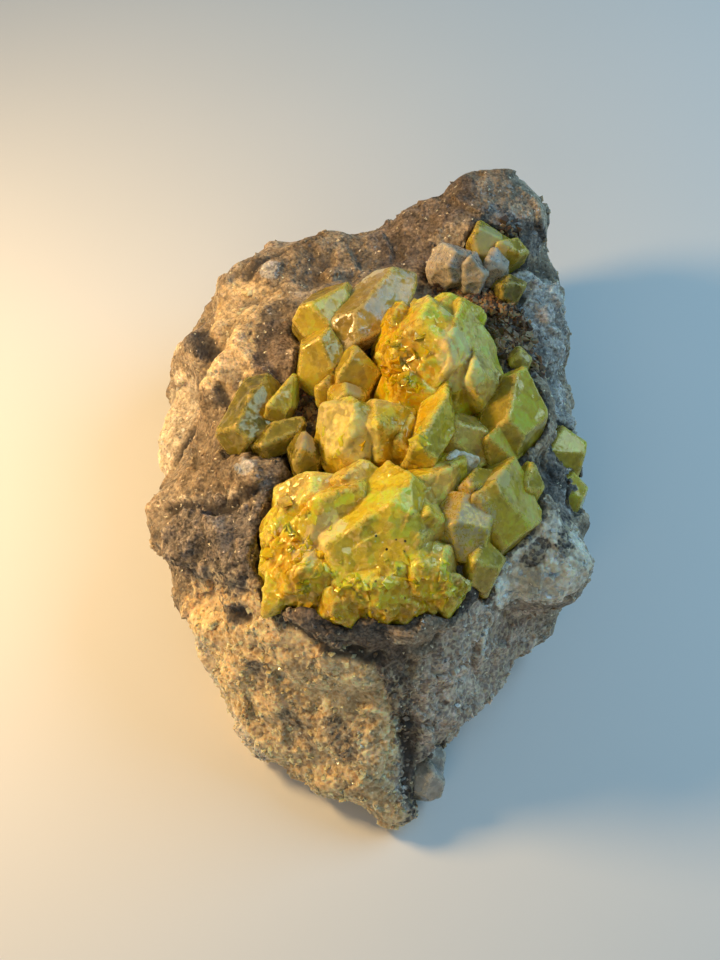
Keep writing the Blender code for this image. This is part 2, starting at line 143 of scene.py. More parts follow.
def chips(points, size, seed):
    """The chip that each point lies on, in cells of that size: three random numbers, the way from its middle,
    how far out it lies, from 0 in the middle, and how far its border is in millimetres."""
    place = points / size + seed
    cell = np.floor(place)
    nearest = np.full(len(points), np.inf)
    second = np.full(len(points), np.inf)
    numbers = np.zeros((len(points), 3))
    offset = np.zeros((len(points), 3))
    for step in np.ndindex(3, 3, 3):
        corner = cell + np.array(step) - 1
        drawn = np.sin((corner @ SCATTER)[:, None] + 91.345 * np.arange(6)) * 43758.5453
        drawn -= np.floor(drawn)
        away = place - corner - drawn[:, :3]
        far = (away**2).sum(axis=1)
        closer = far < nearest
        second = np.where(closer, nearest, np.minimum(second, far))
        nearest = np.where(closer, far, nearest)
        numbers[closer] = drawn[closer, 3:]
        offset[closer] = away[closer]
    return numbers, offset * size, nearest, (np.sqrt(second) - np.sqrt(nearest)) * size


# Where each kind of ground shows: how far a route reaches, then its points
ZONES = {
    "honey": (
        (13, (-19, -30, 20), (-6, -38, 18), (2, -47, 9)),
        (9, (-22, -31, 10), (-8, -46, 8)),
        (4, (-2, -50, 5), (4, -51, 4)),
    ),
    "golden": (
        (6.5, (-19, 25, 30), (-21, 18, 31), (-21, 12, 31)),
        (3, (-22, 5, 30), (-22, -3, 31)),
    ),
    "tan": (
        (5, (-16, 34, 32), (-11, 31, 33), (-7, 35, 33), (-1, 38, 32)),
        (4.5, (-26, 6, 27), (-27, -4, 28), (-22, -7, 31), (-16, -8, 33)),
        (3, (-14, 22, 33), (-15, 12, 32)),
        (2, (-5, -41, 16), (-3, -44, 14)),
        (2, (-12, -40, 15), (-9, -44, 12)),
        (2, (-16, -34, 20)),
    ),
    "gray": (
        (7, (15, -30, 23), (12, -37, 17), (11, -41, 10), (10, -45, 8)),
        (8, (17, -33, 14), (22, -28, 14)),
    ),
    "cream": (
        (5, (-31, 15, 18), (-32, 10, 17), (-33, 5, 17)),
        (3, (-30, 24, 22)),
        (2.2, (-29, -9, 27), (-20, -12, 31)),
        # This route lightens the druse face's left edge, where the lamp grazes it: a painted highlight
        (3, (-27, -27, 12), (-24, -36, 9), (-17, -45, 6)),
    ),
    "chalky": (
        (7, (23, -21, 28), (28, -20, 29)),
        (3, (19, -31, 21), (24, -25, 24)),
    ),
    "white": (
        (5.5, (29, 26, 32), (31, 21, 29), (30, 14, 26), (33, 8, 23), (31, -3, 22)),
        (1.8, (-18, -7, 34)),
        (2, (-16, 31, 33)),
    ),
    "brown": (
        (5, (5, 38, 33), (10, 40, 35), (13, 42, 38)),
        (2.6, (-14, -29, 32), (-5, -33, 32), (1, -34, 31)),
        (2.4, (3, -35, 28), (5, -39, 23), (6, -42, 17), (7, -45, 12)),
        (3, (5, 33, 33), (9, 32, 34)),
        (3, (-14, 18, 32), (-15, 12, 32), (-11, 6, 32)),
    ),
    "stain": (
        (4, (14, 23, 34), (20, 22, 34), (24, 14, 33)),
        (4, (-11, 5, 32)),
        (3, (24, 34, 37)),
    ),
    # Bitumen stains the seams; its routes under the dark lump and along the crevices also paint the shade
    # that falls there
    "bitumen": (
        (7, (-25, -15, 26), (-19, -19, 30)),
        (1.8, (-32, -14, 19), (-27, -21, 20), (-19, -27, 25)),
        (1.3, (-4, -33, 33), (2, -33, 32)),
        (1.6, (8, -44, 12), (8, -47, 7), (6, -50, 4)),
        (1.8, (28, -21, 31), (31, -14, 30), (33, -8, 27)),
        (2.4, (27, 17, 31), (29, 10, 28), (30, 3, 26), (30, -6, 26), (28, -13, 28)),
        (1.4, (28, -14, 28), (24, -20, 29), (18, -25, 30), (12, -29, 31)),
        (2, (-25, 17, 29), (-28, 21, 26), (-29, 26, 23)),
        (2, (-11, -5, 34), (-14, -11, 33), (-16, -17, 32), (-17, -23, 30)),
        (1.5, (12, -42, 9), (9, -47, 6), (6, -51, 4)),
        (3, (20, 37, 37), (27, 37, 33)),
    ),
}
ROUGH_GROUND = (
    (8, (-26, -13, 27), (-19, -19, 30)),
    (6, (30, 27, 30), (32, 10, 24), (30, -3, 26)),
    (3, (8, -35, 28), (5, -43, 15)),
)
SUGARY_GROUND = ZONES["honey"] + ZONES["gray"] + ZONES["chalky"][:1]

# Crevices in the rock's left side, round the dark lump and down the front, written like the zones
CREVICES = (
    (1.1, (-25, 13, 29), (-27, 9, 26), (-30, 5, 21), (-33, -1, 17)),
    (1.5, (-27, 23, 27), (-27, 20, 28), (-25, 17, 29)),
    (1.0, (-31, -9, 24), (-27, -9, 28), (-23, -12, 31), (-17, -11, 33)),
    (1.3, (-33, -14, 18), (-29, -20, 20), (-24, -24, 22), (-18, -28, 26)),
    (1.0, (-12, -32, 31), (-5, -35, 29), (2, -36, 28)),
    (1.0, (-20, 31, 31), (-15, 36, 32), (-8, 38, 32)),
    (0.9, (-23, 9, 30), (-21, 3, 31), (-22, -3, 31)),
    (1.2, (6, -41, 19), (7, -45, 12), (6, -49, 7)),
)


def faces_to_find(nodes):
    """The faces of these CAD nodes, ready to be asked which lies nearest to a place in millimetres."""
    corners = []
    sides = []
    for node in nodes:
        sides += [[index + len(corners) for index in face.vertices] for face in node.data.polygons]
        corners += [vert.co / MM for vert in node.data.vertices]
    return BVHTree.FromPolygons(corners, sides)


bedrock = faces_to_find([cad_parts["matrix_block"]])
crystals = faces_to_find([node for name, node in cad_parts.items() if name != "matrix_block"])


def laid_down(routes):
    """The routes with their points moved onto the rock, one to each millimetre."""
    laid = []
    for reach, *route in routes:
        ends = [Vector(point) for point in route]
        row = []
        for start, end in zip(ends, ends[1:]):
            row += [start.lerp(end, step) for step in np.arange(0, 1, 1 / max((end - start).length, 1))]
        laid.append((reach, *(tuple(bedrock.find_nearest(point)[0]) for point in (*row, ends[-1]))))
    return laid


def from_crystals(points):
    """How far each point is from the nearest crystal."""
    return np.array([crystals.find_nearest(Vector(point))[3] for point in points])


def out_of_rock(points):
    """Which points stand clear of the rock, and so can be seen."""
    clear = []
    for point in points:
        place, outward, _, gap = bedrock.find_nearest(Vector(point))
        clear.append(gap < 0.3 or (Vector(point) - place).dot(outward) > 0)
    return np.array(clear)


def faces_of(piece):
    """The middle of each face in millimetres, and its outward direction."""
    count = len(piece.data.polygons)
    middles = np.empty(count * 3, np.float32)
    outward = np.empty(count * 3, np.float32)
    piece.data.polygons.foreach_get("center", middles)
    piece.data.polygons.foreach_get("normal", outward)
    return middles.reshape(-1, 3).astype(float) / MM, outward.reshape(-1, 3)


def sunk(piece, times):
    """How far each point lies below the eased skin around it, in millimetres."""
    points, outward = skin_of(piece)
    return ((eased(piece, points, times) - points) * outward).sum(axis=1)


def keep_soft(piece, name, values):
    """Keeps values from 0 to 1, softened a little."""
    keep(piece, name, eased(piece, np.clip(values, 0, 1)[:, None], 4)[:, 0])


rock = even_skin("matrix_block", "host_rock", ROCK_CELL)
points, _ = skin_of(rock)
put_skin(rock, eased(rock, points, ROCK_EASE))
middles, outward = faces_of(rock)
clear = from_crystals(middles) > COARSE_UNDER
finer(rock, (middles[:, 2] > FLAT_BELOW) & (outward[:, 2] > -0.3) & clear)
middles, _ = faces_of(rock)
clear = from_crystals(middles) > COARSE_UNDER
finer(rock, (middles[:, 2] > 1) & (near(middles, SUGARY_GROUND) > 0.6) & clear)
points, outward = skin_of(rock)
points = eased(rock, points, ROCK_EASE)
rough = near(points, ROUGH_GROUND)
sugary = near(points, SUGARY_GROUND)
height = LUMPS * sampled(lambda p: noise.fractal(p, 1.0, 2.0, 4), points / LUMPS_APART)
# Its broken facets: their size, how far they lean, how far they step and how strong they are
facets = (
    (5.5, 0.15, 0.4, 1.0),
    (2.2, 0.2, 0.3, rough),
    (1.0, 0.25, 0.0, 0.2 + 0.8 * sugary),
)
for size, tilt, step, strength in facets:
    numbers, offset, _, _ = chips(points, size, 2.3)
    height += strength * (tilt * ((numbers * 2 - 1) * offset).sum(axis=1) + step * (numbers[:, 0] - 0.5))
crumble = sampled(lambda p: noise.turbulence(p, 4, False), points / CRUMBLE_APART)
height += (0.2 + 0.9 * rough) * (crumble - 0.5)
crevices = near(points, laid_down(CREVICES))
height -= CREVICE_DEPTH * crevices * (0.6 + 0.4 * crumble)
on_floor = np.clip(points[:, 2] / FLAT_BELOW, 0, 1)
points += outward * (height * on_floor)[:, None]
points[:, 2] = np.maximum(points[:, 2], 0)
put_skin(rock, points)
# pit and fold mark the rock's hollows, which the finish darkens as painted shade
pitted = sunk(rock, 6) / PIT_DEPTH
# ridge marks the crests, which the finish paints lighter as a painted highlight
keep_soft(rock, "ridge", -pitted)
keep_soft(rock, "pit", pitted)
keep_soft(rock, "fold", sunk(rock, 70) / FOLD_DEPTH)
masks = {zone: near(points, routes) for zone, routes in ZONES.items()}
for zone, mask in masks.items():
    keep(rock, zone, mask)
# Beside every crystal the rock is painted near black: partly a bitumen crust, partly painted shade in the
# joint between crystal and rock
keep(rock, "rim", np.clip(1.3 - from_crystals(points) / RIM_REACH, 0, 1))
# The crevices are also painted dark in the finish, as painted shade
keep(rock, "crevice", crevices)
keep(rock, "sugary", sugary)


def add(tree, kind, inputs=None, **settings):
    """A shader node with its settings, each input given a value or linked to another node's output."""
    made = tree.nodes.new("ShaderNode" + kind)
    for setting, value in settings.items():
        setattr(made, setting, value)
    for name, value in (inputs or {}).items():
        socket = made.inputs[name]
        if isinstance(value, bpy.types.NodeSocket):
            tree.links.new(value, socket)
        elif socket.type == "RGBA" and len(value) == 3:
            socket.default_value = (*value, 1)
        else:
            socket.default_value = value
    return made


def maths(tree, operation, *values):
    """The result of a Math node."""
    return add(tree, "Math", dict(enumerate(values)), operation=operation).outputs[0]


def moved(tree, operation, *values, scale=None):
    """The result of a Vector Math node."""
    inputs = dict(enumerate(values))
    if scale is not None:
        inputs["Scale"] = scale
    return add(tree, "VectorMath", inputs, operation=operation).outputs[0]


def mixed(tree, share, first, second, how="MIX"):
    """Two colours mixed, all of the second where share is 1."""
    inputs = {0: share, 6: first, 7: second}
    return add(tree, "Mix", inputs, data_type="RGBA", blend_type=how).outputs[2]


def ranged(tree, value, low, high, least=0.0, most=1.0):
    """A value taken from low..high to least..most, and held there beyond them."""
    inputs = {"Value": value, "From Min": low, "From Max": high, "To Min": least, "To Max": most}
    return add(tree, "MapRange", inputs, interpolation_type="SMOOTHSTEP").outputs[0]


def millimetres(tree):
    """The place on the piece, in millimetres."""
    place = add(tree, "TexCoord").outputs["Object"]
    return moved(tree, "SCALE", place, scale=1 / MM)


def speckle(tree, per_mm, detail=2.0, distortion=0.0):
    """Soft noise about 0.5, so many waves to the millimetre."""
    inputs = {"Vector": millimetres(tree), "Scale": per_mm, "Detail": detail, "Distortion": distortion}
    return add(tree, "TexNoise", inputs).outputs[0]


def stored(tree, name):
    """The number kept on the piece's points under that name."""
    return add(tree, "Attribute", attribute_name=name).outputs["Fac"]


def effect(name, inputs, outputs):
    """An empty shader group with these named sockets, and its inner ends."""
    tree = bpy.data.node_groups.new(name, "ShaderNodeTree")
    for socket, value in inputs.items():
        kind = "Color" if isinstance(value, tuple) else "Float"
        made = tree.interface.new_socket(socket, in_out="INPUT", socket_type="NodeSocket" + kind)
        made.default_value = (*value, 1) if kind == "Color" else value
    for socket, kind in outputs.items():
        tree.interface.new_socket(socket, in_out="OUTPUT", socket_type="NodeSocket" + kind)
    return tree, tree.nodes.new("NodeGroupInput").outputs, tree.nodes.new("NodeGroupOutput").inputs


def placed(tree, name, inputs=None):
    """That effect, placed in a material with its own values."""
    return add(tree, "Group", inputs, node_tree=bpy.data.node_groups[name]).outputs


def tinted(tree, colour, shade):
    """A colour made darker or lighter by a shade about 1."""
    return mixed(tree, 1.0, colour, shade, "MULTIPLY")


def ragged(tree, name, grains=1.2, spread=0.9):
    """A stored mask, its border broken up into grains."""
    return placed(tree, "ragged border", {"Mask": stored(tree, name), "Grains": grains, "Spread": spread})[0]


def pressed(tree, shader, strength, depth, height, normal):
    """Presses a fine relief, that many millimetres deep, into a finish whose normals are turned already."""
    inputs = {"Strength": strength, "Distance": depth * MM, "Height": height, "Normal": normal}
    tree.links.new(add(tree, "Bump", inputs).outputs[0], shader.inputs["Normal"])


def finish(name, **values):
    """A new material's tree and its Principled shader, with the values that are the same all over."""
    material = bpy.data.materials.new(name)
    material.use_nodes = True
    shader = material.node_tree.nodes["Principled BSDF"]
    for socket, value in values.items():
        shader.inputs[socket.replace("_", " ")].default_value = value
    return material, material.node_tree, shader


# Ragged border: breaks up a stored mask's soft border, as one mineral gives way to another grain by grain
tree, given, out = effect("ragged border", {"Mask": 0.0, "Grains": 1.2, "Spread": 0.9}, {"Mask": "Float"})
waves = add(tree, "TexNoise", {"Vector": millimetres(tree), "Scale": given["Grains"], "Detail": 3.0})
shifted = maths(tree, "MULTIPLY", maths(tree, "SUBTRACT", waves.outputs[0], 0.5), given["Spread"])
tree.links.new(ranged(tree, maths(tree, "ADD", given["Mask"], shifted), 0.38, 0.62), out["Mask"])

# Sugary grain: rounded see-through grains of calcite, of which a few turn a polished face to the light
MIDDLE = (0.5, 0.5, 0.5)
tree, given, out = effect(
    "sugary grain",
    {"Grain": 0.8, "Tilt": 0.3, "Matt": 0.7},
    {"Normal": "Vector", "Roughness": "Float", "Tone": "Float", "Height": "Float"},
)
place = moved(tree, "DIVIDE", millimetres(tree), given["Grain"])
drawn = add(tree, "TexNoise", {"Vector": place, "Scale": 1.3, "Detail": 2.0})
place = moved(tree, "ADD", place, moved(tree, "SCALE", drawn.outputs["Color"], scale=0.5))
cells = add(tree, "TexVoronoi", {"Vector": place, "Scale": 1.0})
beads = add(tree, "TexVoronoi", {"Vector": place, "Scale": 1.0, "Smoothness": 0.35}, feature="SMOOTH_F1")
lean = moved(tree, "SUBTRACT", cells.outputs["Color"], MIDDLE)
lean = moved(tree, "SCALE", lean, scale=given["Tilt"])
turned = moved(tree, "ADD", add(tree, "NewGeometry").outputs["Normal"], lean)
tree.links.new(moved(tree, "NORMALIZE", turned), out["Normal"])
numbers = add(tree, "SeparateColor", {0: cells.outputs["Color"]}).outputs
polish = add(tree, "MapRange", {0: numbers[1], 1: 0.06, 2: 0.2, 3: 0.08, 4: given["Matt"]}).outputs[0]
tree.links.new(polish, out["Roughness"])
tree.links.new(numbers[2], out["Tone"])
tree.links.new(ranged(tree, beads.outputs["Distance"], 0.1, 0.8, 1.0, 0.0), out["Height"])


def own_number(tree, cells):
    """A random number that each cell has to itself."""
    return add(tree, "SeparateColor", {0: cells.outputs["Color"]}).outputs[0]


# Painted glints: bright dots painted on a small share of grains, standing in for light caught by their broken
# edges
tree, given, out = effect("painted_glints", {"Grain": 0.6, "Share": 0.05}, {"Mask": "Float"})
drawn = add(tree, "TexNoise", {"Vector": millimetres(tree), "Scale": 2.0})
place = moved(tree, "ADD", millimetres(tree), drawn.outputs["Color"])
place = moved(tree, "DIVIDE", place, given["Grain"])
cells = add(tree, "TexVoronoi", {"Vector": place, "Scale": 1.0})
chosen = maths(tree, "LESS_THAN", own_number(tree, cells), given["Share"])
spot = ranged(tree, cells.outputs["Distance"], 0.2, 0.4, 0.8, 0.0)
tree.links.new(maths(tree, "MULTIPLY", chosen, spot), out["Mask"])

# Flakes: a broken crystal's many small flat faces, each turned and toned a little differently
tree, given, out = effect(
    "flakes",
    {"Broad": 2.4, "Broad Tilt": 0.4, "Fine": 0.9, "Fine Tilt": 0.4, "Contrast": 0.25},
    {"Normal": "Vector", "Shade": "Float", "Seams": "Float"},
)
drawn = add(tree, "TexNoise", {"Vector": millimetres(tree), "Scale": 0.5, "Detail": 3.0})
place = moved(tree, "ADD", millimetres(tree), moved(tree, "SCALE", drawn.outputs["Color"], scale=2.2))
turned = add(tree, "NewGeometry").outputs["Normal"]
shade = 1.0
seams = 0.0
for level, width in (("Broad", 0.035), ("Fine", 0.07)):
    spot = moved(tree, "DIVIDE", place, given[level])
    cells = add(tree, "TexVoronoi", {"Vector": spot, "Scale": 1.0})
    lean = moved(tree, "SUBTRACT", cells.outputs["Color"], MIDDLE)
    lean = moved(tree, "SCALE", lean, scale=given[level + " Tilt"])
    turned = moved(tree, "ADD", turned, lean)
    number = maths(tree, "SUBTRACT", own_number(tree, cells), 0.5)
    shade = maths(tree, "ADD", shade, maths(tree, "MULTIPLY", number, given["Contrast"]))
    borders = add(tree, "TexVoronoi", {"Vector": spot, "Scale": 1.0}, feature="DISTANCE_TO_EDGE")
    seam = ranged(tree, borders.outputs["Distance"], 0.0, width, 1.0, 0.0)
    seams = maths(tree, "MAXIMUM", seams, seam)
tree.links.new(moved(tree, "NORMALIZE", turned), out["Normal"])
tree.links.new(shade, out["Shade"])
broken = ranged(tree, speckle(tree, 0.6, 4.0), 0.42, 0.6)
tree.links.new(maths(tree, "MULTIPLY", seams, broken), out["Seams"])

# Limestone tones: each kind of ground has a darker and a lighter tone, listed from the lowest layer up
GROUND = {
    "honey": ((0.62, 0.37, 0.15), (1.0, 0.75, 0.42)),
    "golden": ((0.46, 0.31, 0.15), (0.86, 0.64, 0.37)),
    "tan": ((0.14, 0.095, 0.055), (0.46, 0.34, 0.21)),
    "gray": ((0.27, 0.19, 0.145), (0.70, 0.54, 0.42)),
    "cream": ((0.52, 0.40, 0.27), (0.95, 0.80, 0.60)),
    "chalky": ((0.74, 0.60, 0.44), (1.0, 0.92, 0.76)),
    "white": ((0.28, 0.25, 0.22), (0.62, 0.57, 0.50)),
    "brown": ((0.08, 0.055, 0.038), (0.34, 0.25, 0.18)),
    "stain": ((0.12, 0.05, 0.02), (0.40, 0.20, 0.08)),
    "bitumen": ((0.018, 0.015, 0.013), (0.38, 0.31, 0.25)),
}
BARE_LIMESTONE = ((0.20, 0.145, 0.09), (0.54, 0.42, 0.29))
BLACK_RIM = ((0.02, 0.017, 0.015), (0.10, 0.08, 0.065))
# The near-black brown of the painted shade in the rock's hollows
PAINTED_SHADE = (0.04, 0.03, 0.024)
tree, given, out = effect("limestone tones", {}, {"Color": "Color"})
mottle = ranged(tree, speckle(tree, 0.5, 6.0, 0.4), 0.32, 0.68)
fleck = ranged(tree, speckle(tree, 2.2, 6.0), 0.36, 0.64)
lightness = maths(tree, "ADD", maths(tree, "MULTIPLY", mottle, 0.5), maths(tree, "MULTIPLY", fleck, 0.5))
colour = mixed(tree, lightness, *BARE_LIMESTONE)
for zone, (dark, light) in GROUND.items():
    colour = mixed(tree, ragged(tree, zone), colour, mixed(tree, lightness, dark, light))
# Near black beside the crystals: a bitumen crust and painted shade where crystals meet the rock
rim = maths(tree, "MULTIPLY", ragged(tree, "rim", 0.9, 0.8), 0.9)
colour = mixed(tree, rim, colour, mixed(tree, fleck, *BLACK_RIM))
tree.links.new(colour, out["Color"])

weathered, tree, shader = finish(
    "weathered limestone",
    IOR=1.5,
    Subsurface_Weight=0.7,
    Subsurface_Radius=(1.0, 0.7, 0.4),
    Subsurface_Scale=1.4 * MM,
)
tones = placed(tree, "limestone tones")
grain = placed(tree, "sugary grain", {"Grain": 0.7, "Tilt": 0.35, "Matt": 0.8})
colour = tinted(tree, tones["Color"], ranged(tree, grain["Tone"], 0.0, 1.0, 0.8, 1.15))
sugary_ground = ragged(tree, "sugary", 0.8, 0.6)
dark_bits = ranged(tree, speckle(tree, 1.7, 6.0, 0.6), 0.36, 0.5, 0.55, 1.0)
dark_bits = maths(tree, "MAXIMUM", dark_bits, maths(tree, "MULTIPLY", sugary_ground, 0.95))
colour = tinted(tree, colour, dark_bits)
colour = tinted(tree, colour, ranged(tree, speckle(tree, 0.17, 3.0, 0.8), 0.35, 0.65, 0.68, 1.2))
outlines = maths(tree, "MULTIPLY", ranged(tree, grain["Height"], 0.05, 0.45, 1.0, 0.0), sugary_ground)
colour = mixed(tree, maths(tree, "MULTIPLY", outlines, 0.35), colour, (0.96, 0.80, 0.52))
# Crests are painted up to a fifth lighter, a painted highlight
colour = tinted(tree, colour, ranged(tree, stored(tree, "ridge"), 0.0, 1.0, 1.0, 1.2))
# Painted shade: pits, folds and crevices are darkened towards near black, standing in for the shade in the
# rock's hollows
painted_shade = maths(tree, "MAXIMUM", maths(tree, "MULTIPLY", stored(tree, "pit"), 0.35), stored(tree, "fold"))
crevice_shade = maths(tree, "MULTIPLY", stored(tree, "crevice"), 0.95)
painted_shade = maths(tree, "MAXIMUM", maths(tree, "MULTIPLY", painted_shade, 0.7), crevice_shade)
colour = mixed(tree, painted_shade, colour, PAINTED_SHADE)
# Painted glints: a few grains painted nearly white, standing in for light caught by their broken edges
painted_glints = placed(tree, "painted_glints", {"Grain": 0.6, "Share": 0.05})["Mask"]
colour = mixed(tree, painted_glints, colour, (1.0, 0.88, 0.62))
tree.links.new(colour, shader.inputs["Base Color"])
tree.links.new(grain["Roughness"], shader.inputs["Roughness"])
relief = maths(tree, "ADD", grain["Height"], speckle(tree, 2.6, 5.0))
strength = ranged(tree, sugary_ground, 0.0, 1.0, 0.6, 0.3)
pressed(tree, shader, strength, 0.22, relief, grain["Normal"])
rock.data.materials.append(weathered)
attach(rock, "root")

# Druse, the sugary crust of calcite grains that grew on the broken faces of the rock.
# Thousands of small leaning rhombs stand half sunk in the skin, honey-coloured in front, gray on the right.
GRAIN_CORNERS = np.array([(x, y, z) for x in (-1, 1) for y in (-1, 1) for z in (-1, 1)], float) / 2
GRAIN_SIDES = ((0, 1, 3, 2), (4, 6, 7, 5), (0, 4, 5, 1), (2, 3, 7, 6), (0, 2, 6, 4), (1, 5, 7, 3))
RHOMB_LEAN = 0.22
MOSTLY_SMALL = 2.2
ABOVE_TABLE = 0.05


def strewn(name, host, weight, many, size, proud, seed, uneven=0.12, stretch=1.0, carried=(*ZONES, "rim")):
    """Many small leaning blocks, half sunk in the host where weight is high. Size is a least and a most.
    Each keeps the host's stored numbers of the carried names."""
    chance = np.random.default_rng(seed)
    host.data.calc_loop_triangles()
    corners = np.empty(len(host.data.loop_triangles) * 3, np.int32)
    host.data.loop_triangles.foreach_get("vertices", corners)
    corners = corners.reshape(-1, 3)
    points, _ = skin_of(host)
    first, second, third = points[corners[:, 0]], points[corners[:, 1]], points[corners[:, 2]]
    upright = np.cross(second - first, third - first)
    area = np.linalg.norm(upright, axis=1)
    odds = area * np.clip(weight[corners].mean(axis=1), 0, None)
    chosen = chance.choice(len(corners), many, p=odds / odds.sum())
    share = np.sqrt(chance.random(many))[:, None]
    split = chance.random(many)[:, None]
    spots = (1 - share) * first[chosen] + share * (1 - split) * second[chosen]
    spots += share * split * third[chosen]
    upright = upright[chosen] / area[chosen][:, None]
    least, most = size
    sizes = least + (most - least) * chance.random(many) ** MOSTLY_SMALL
    turns, _ = np.linalg.qr(chance.normal(size=(many, 3, 3)))
    shape = GRAIN_CORNERS * (1, 1, stretch) + RHOMB_LEAN * GRAIN_CORNERS[:, [1, 2, 0]]
    blocks = shape + chance.normal(0, uneven, (many, 8, 3)) * 0.5
    blocks = np.einsum("nij,nkj->nki", turns, blocks) * sizes[:, None, None]
    blocks += (spots + upright * (sizes * proud)[:, None])[:, None, :]
    blocks[:, :, 2] = np.maximum(blocks[:, :, 2], ABOVE_TABLE)
    base = np.arange(many)[:, None, None] * 8
    sides = (np.array(GRAIN_SIDES)[None] + base).reshape(-1, 4)
    mesh = bpy.data.meshes.new(name)
    mesh.from_pydata((blocks.reshape(-1, 3) * MM).tolist(), [], sides.tolist())
    piece = bpy.data.objects.new(name, mesh)
    bpy.context.scene.collection.objects.link(piece)
    keep(piece, "tone", np.repeat(chance.random(many), 8))
    for zone in carried:
        values = np.empty(len(host.data.vertices), np.float32)
        host.data.attributes[zone].data.foreach_get("value", values)
        keep(piece, zone, np.repeat(values[corners[chosen, 0]], 8))
    return piece


clear_of_floor = np.clip(points[:, 2] / 2, 0, 1)
bare = 1 - np.clip(masks["bitumen"] * 1.3, 0, 1)
druse_ground = (0.18 + masks["honey"] + 0.7 * masks["gray"] + 0.5 * masks["chalky"]) * bare * clear_of_floor
druse = strewn("calcite_druse", rock, druse_ground, 3400, (0.3, 0.85), -0.3, 11)
sugar, tree, shader = finish(
    "calcite sugar",
    IOR=1.55,
    Subsurface_Weight=1.0,
    Subsurface_Radius=(1.0, 0.75, 0.5),
    Subsurface_Scale=1.5 * MM,
)
tones = placed(tree, "limestone tones")
shade = ranged(tree, stored(tree, "tone"), 0.0, 1.0, 0.75, 1.2)
tree.links.new(tinted(tree, tones["Color"], shade), shader.inputs["Base Color"])
tree.links.new(ranged(tree, stored(tree, "tone"), 0.2, 0.9, 0.6, 0.12), shader.inputs["Roughness"])
druse.data.materials.append(sugar)
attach(druse, "root")

# The three large sulfur masses, each a crowd of crystals grown into one another.
# Their broken faces step in chips with lighter bruised borders. The honeycomb where grains are close is
# darkened as painted shade, and crests are lightened as a painted highlight.
MASS_CELL = 0.37
SWELL = 0.35
RIPPLE = 0.04
# The steps follow one another this way, about two millimetres apart
RIBS_RUN = (0.33, -0.28, 0.1)
BRUISE_WIDTH = 0.2
SCAR_DEPTH = 0.06


def chipped(piece, scales, seed, steps):
    """Breaks the skin into low steps and shallow scars with sharp ridges between, and keeps where they run.
    A scale is the size of the scars, how deep they are, how far each is tilted, and where they lie."""
    points, outward = skin_of(piece)
    height = np.full(len(points), SWELL)
    borders = np.zeros(len(points))
    tone = np.full(len(points), 0.5)
    ribs = points @ RIBS_RUN + 1.1 * sampled(lambda p: noise.fractal(p, 1.0, 2.0, 2), points / 7)
    height -= steps * (ribs % 1) * np.clip(sampled(lambda p: noise.noise(p), points / 5) * 2 + 0.4, 0, 1)
    for size, deep, tilt, where in scales:
        numbers, offset, out, border = chips(points, size, seed + size)
        strength = 1.0 if where is None else near(points, where)
        lean = ((numbers * 2 - 1) * offset).sum(axis=1)
        height += strength * (deep * (out - 0.35) + tilt * lean * np.clip(border / size * 4, 0, 1))
        borders = np.maximum(borders, strength * np.exp(-border / BRUISE_WIDTH))
        tone += 0.5 * strength * (numbers[:, 1] - 0.5)
    height += RIPPLE * sampled(lambda p: noise.fractal(p, 0.8, 2.0, 4), points / 1.7)
    put_skin(piece, points + outward * height[:, None])
    keep(piece, "border", borders)
    keep(piece, "chip", np.clip(tone, 0, 1))
    folded = sunk(piece, 10) / SCAR_DEPTH
    keep_soft(piece, "ridge", -folded)
    keep_soft(piece, "fold", folded)


# Sulfur tones: yellow to amber and green, each chip a little different, with bruised borders, gray crust,
# painted shade in the folds and a painted highlight on the crests
tree, given, out = effect(
    "sulfur tones",
    {
        "Yellow": (1.0, 0.75, 0.045),
        "Amber": (1.0, 0.56, 0.01),
        "Green": (0.95, 0.70, 0.18),
        "Pale": (0.96, 0.80, 0.38),
        "Edge": (1.0, 0.80, 0.20),
        "Deep": (0.60, 0.36, 0.015),
        "Crust": (0.60, 0.55, 0.44),
        "Darkest Face": 0.68,
        "Specks": 0.0,
    },
    {"Color": "Color", "Roughness": "Float", "Height": "Float"},
)
drift = speckle(tree, 0.3, 3.0, 0.8)
fine = speckle(tree, 1.5, 4.0, 0.4)
colour = mixed(tree, ranged(tree, drift, 0.45, 0.75, 0.0, 0.3), given["Yellow"], given["Green"])
for zone in ("Amber", "Green"):
    colour = mixed(tree, ragged(tree, zone.lower(), 0.4, 0.9), colour, given[zone])
colour = tinted(tree, colour, ranged(tree, stored(tree, "chip"), 0.1, 0.9, 0.72, 1.15))
colour = tinted(tree, colour, ranged(tree, fine, 0.3, 0.7, 0.86, 1.08))
colour = tinted(tree, colour, ranged(tree, stored(tree, "facet"), 0.0, 1.0, given["Darkest Face"], 1.18))
bruised = maths(tree, "MULTIPLY", stored(tree, "border"), ranged(tree, speckle(tree, 0.7, 5.0), 0.4, 0.6))
# Folds are painted darker: painted shade in the hollows between grains
colour = mixed(tree, maths(tree, "MULTIPLY", stored(tree, "fold"), 0.75), colour, given["Deep"])
